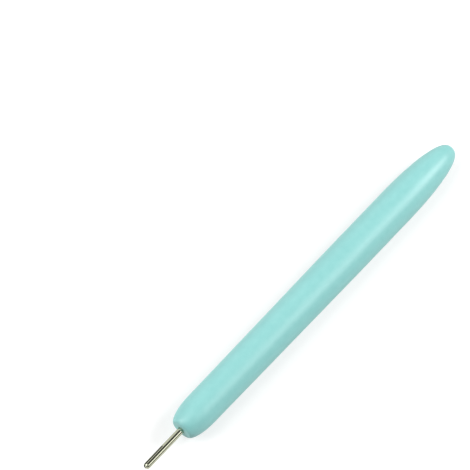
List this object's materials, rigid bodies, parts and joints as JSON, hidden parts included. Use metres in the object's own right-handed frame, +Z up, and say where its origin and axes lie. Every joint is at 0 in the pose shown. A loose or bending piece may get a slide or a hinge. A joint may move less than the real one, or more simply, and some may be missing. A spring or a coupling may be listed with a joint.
{
  "type": "quilling tool",
  "caption": "Slotted quilling tool: a steel needle with a central slot, set in a slim round plastic handle with a domed tail and a gentle taper.",
  "frame": {"origin": "centre of the bounding box in plan, on the surface that the tool lies on", "axes": "+X along the tool's axis from the domed tail to the needle tip; +Z up from the surface that the tool lies on"},
  "size_m": [0.105, 0.0088, 0.0089],
  "materials": {
    "handle_plastic": "satin moulded",
    "needle_steel": "bright drawn and polished"
  },
  "bodies": {
    "root": {"handle": "handle_plastic", "slotted_needle": "needle_steel"}
  },
  "joints": []
}
